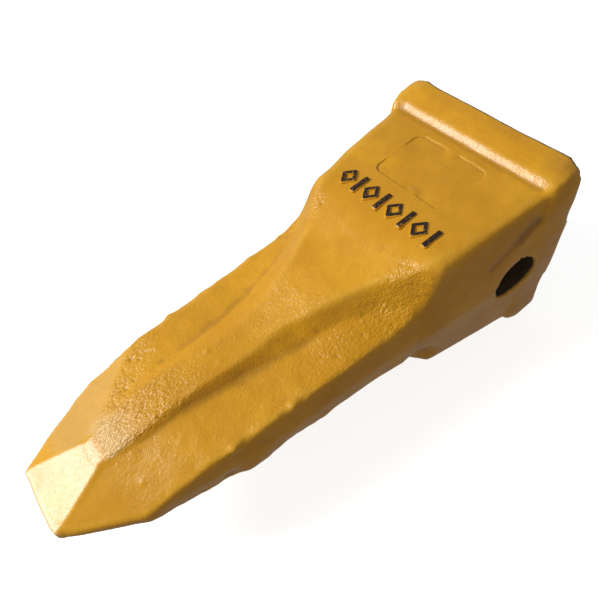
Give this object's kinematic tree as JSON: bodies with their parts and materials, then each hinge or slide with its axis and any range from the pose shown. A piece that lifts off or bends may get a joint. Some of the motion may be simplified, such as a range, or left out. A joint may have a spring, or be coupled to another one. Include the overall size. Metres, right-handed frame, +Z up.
{
  "type": "excavator bucket tooth",
  "caption": "Heavy-duty rock chisel bucket tooth: hollow wedge casting with a side pin bore, its retaining pin and its rubber and steel retainer.",
  "frame": {"origin": "centre of the socket mouth, in the plane of the rear face", "axes": "+X along the tooth from the socket mouth to the cutting tip, +Y along the pin bore towards the side that shows the open bore, +Z up"},
  "size_m": [0.3045, 0.137, 0.122],
  "materials": {
    "yellow_paint": "glossy ochre yellow enamel over rough cast steel",
    "mark_ink": "dark ink in the cast marks",
    "pin_steel": "plain heat-treated bar",
    "retainer_rubber": "matt black",
    "spring_steel": "blued spring steel"
  },
  "bodies": {
    "tooth": {"tooth_casting": "yellow_paint"},
    "pin": {"retaining_pin": "pin_steel"},
    "retainer": {"retainer_rubber": "retainer_rubber", "retainer_snap_ring": "spring_steel"}
  },
  "joints": [
    {"name": "pin_slide", "type": "slide", "parent": "tooth", "child": "pin", "axis": [0, 1, 0], "range_m": [-0.035, 0.02]},
    {"name": "retainer_spin", "type": "hinge", "parent": "pin", "child": "retainer", "pos_m": [0.036, 0.011, 0], "axis": [0, 1, 0], "continuous": true}
  ]
}
